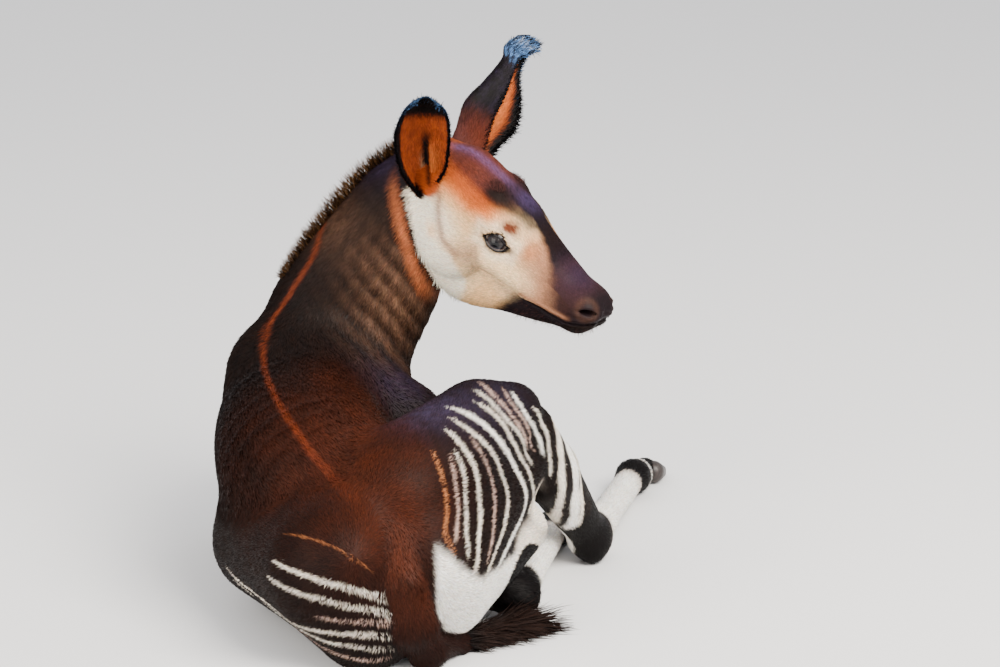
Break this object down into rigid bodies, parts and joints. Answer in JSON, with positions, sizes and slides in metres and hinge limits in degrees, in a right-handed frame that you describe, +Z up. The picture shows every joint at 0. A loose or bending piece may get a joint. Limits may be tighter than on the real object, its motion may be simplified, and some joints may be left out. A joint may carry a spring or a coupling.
{
  "type": "okapi calf",
  "caption": "Life-size young okapi calf lying at rest, hind legs to its right, head turned back to its right, striped haunches, short erect mane.",
  "frame": {"origin": "middle of the underside of the whole animal's bounding box, on the floor", "axes": "+Z up from the floor, +Y the way the trunk points away from the picture's camera, +X to the animal's right, where its head is turned and its hind legs lie"},
  "size_m": [0.5114, 0.682, 0.565],
  "materials": {
    "coat_dark": "short dense black-brown coat with a chestnut cast",
    "coat_striped": "short coat striped cream white on black-brown",
    "coat_white": "short cream-white coat",
    "coat_face": "short tan to cream coat, dark on the forehead and muzzle",
    "coat_ear": "black outside, rufous inside, soft fringed rim",
    "hoof_horn": "dark horn, satin",
    "eye": "dark wet gloss"
  },
  "bodies": {
    "root": {"hind_right_claw_inner": "hoof_horn", "hind_right_claw_outer": "hoof_horn", "hind_left_claw_inner": "hoof_horn", "hind_left_claw_outer": "hoof_horn", "fore_right_claw_inner": "hoof_horn", "fore_right_claw_outer": "hoof_horn", "fore_left_claw_inner": "hoof_horn", "fore_left_claw_outer": "hoof_horn", "hind_right_gaskin": "coat_striped", "hind_right_cannon": "coat_white", "hind_right_pastern": "coat_dark", "hind_left_gaskin": "coat_striped", "hind_left_cannon": "coat_white", "hind_left_pastern": "coat_dark", "fore_right_cannon": "coat_white", "fore_right_pastern": "coat_dark", "fore_right_forearm": "coat_striped", "fore_left_cannon": "coat_white", "fore_left_pastern": "coat_dark", "fore_left_forearm": "coat_striped", "eye_left": "eye", "eye_right": "eye", "head": "coat_face", "ear_right": "coat_ear", "ear_left": "coat_ear", "neck": "coat_dark", "tail": "coat_dark", "thigh_right": "coat_striped", "thigh_left": "coat_striped", "torso": "coat_dark", "rump": "coat_dark"}
  },
  "joints": []
}
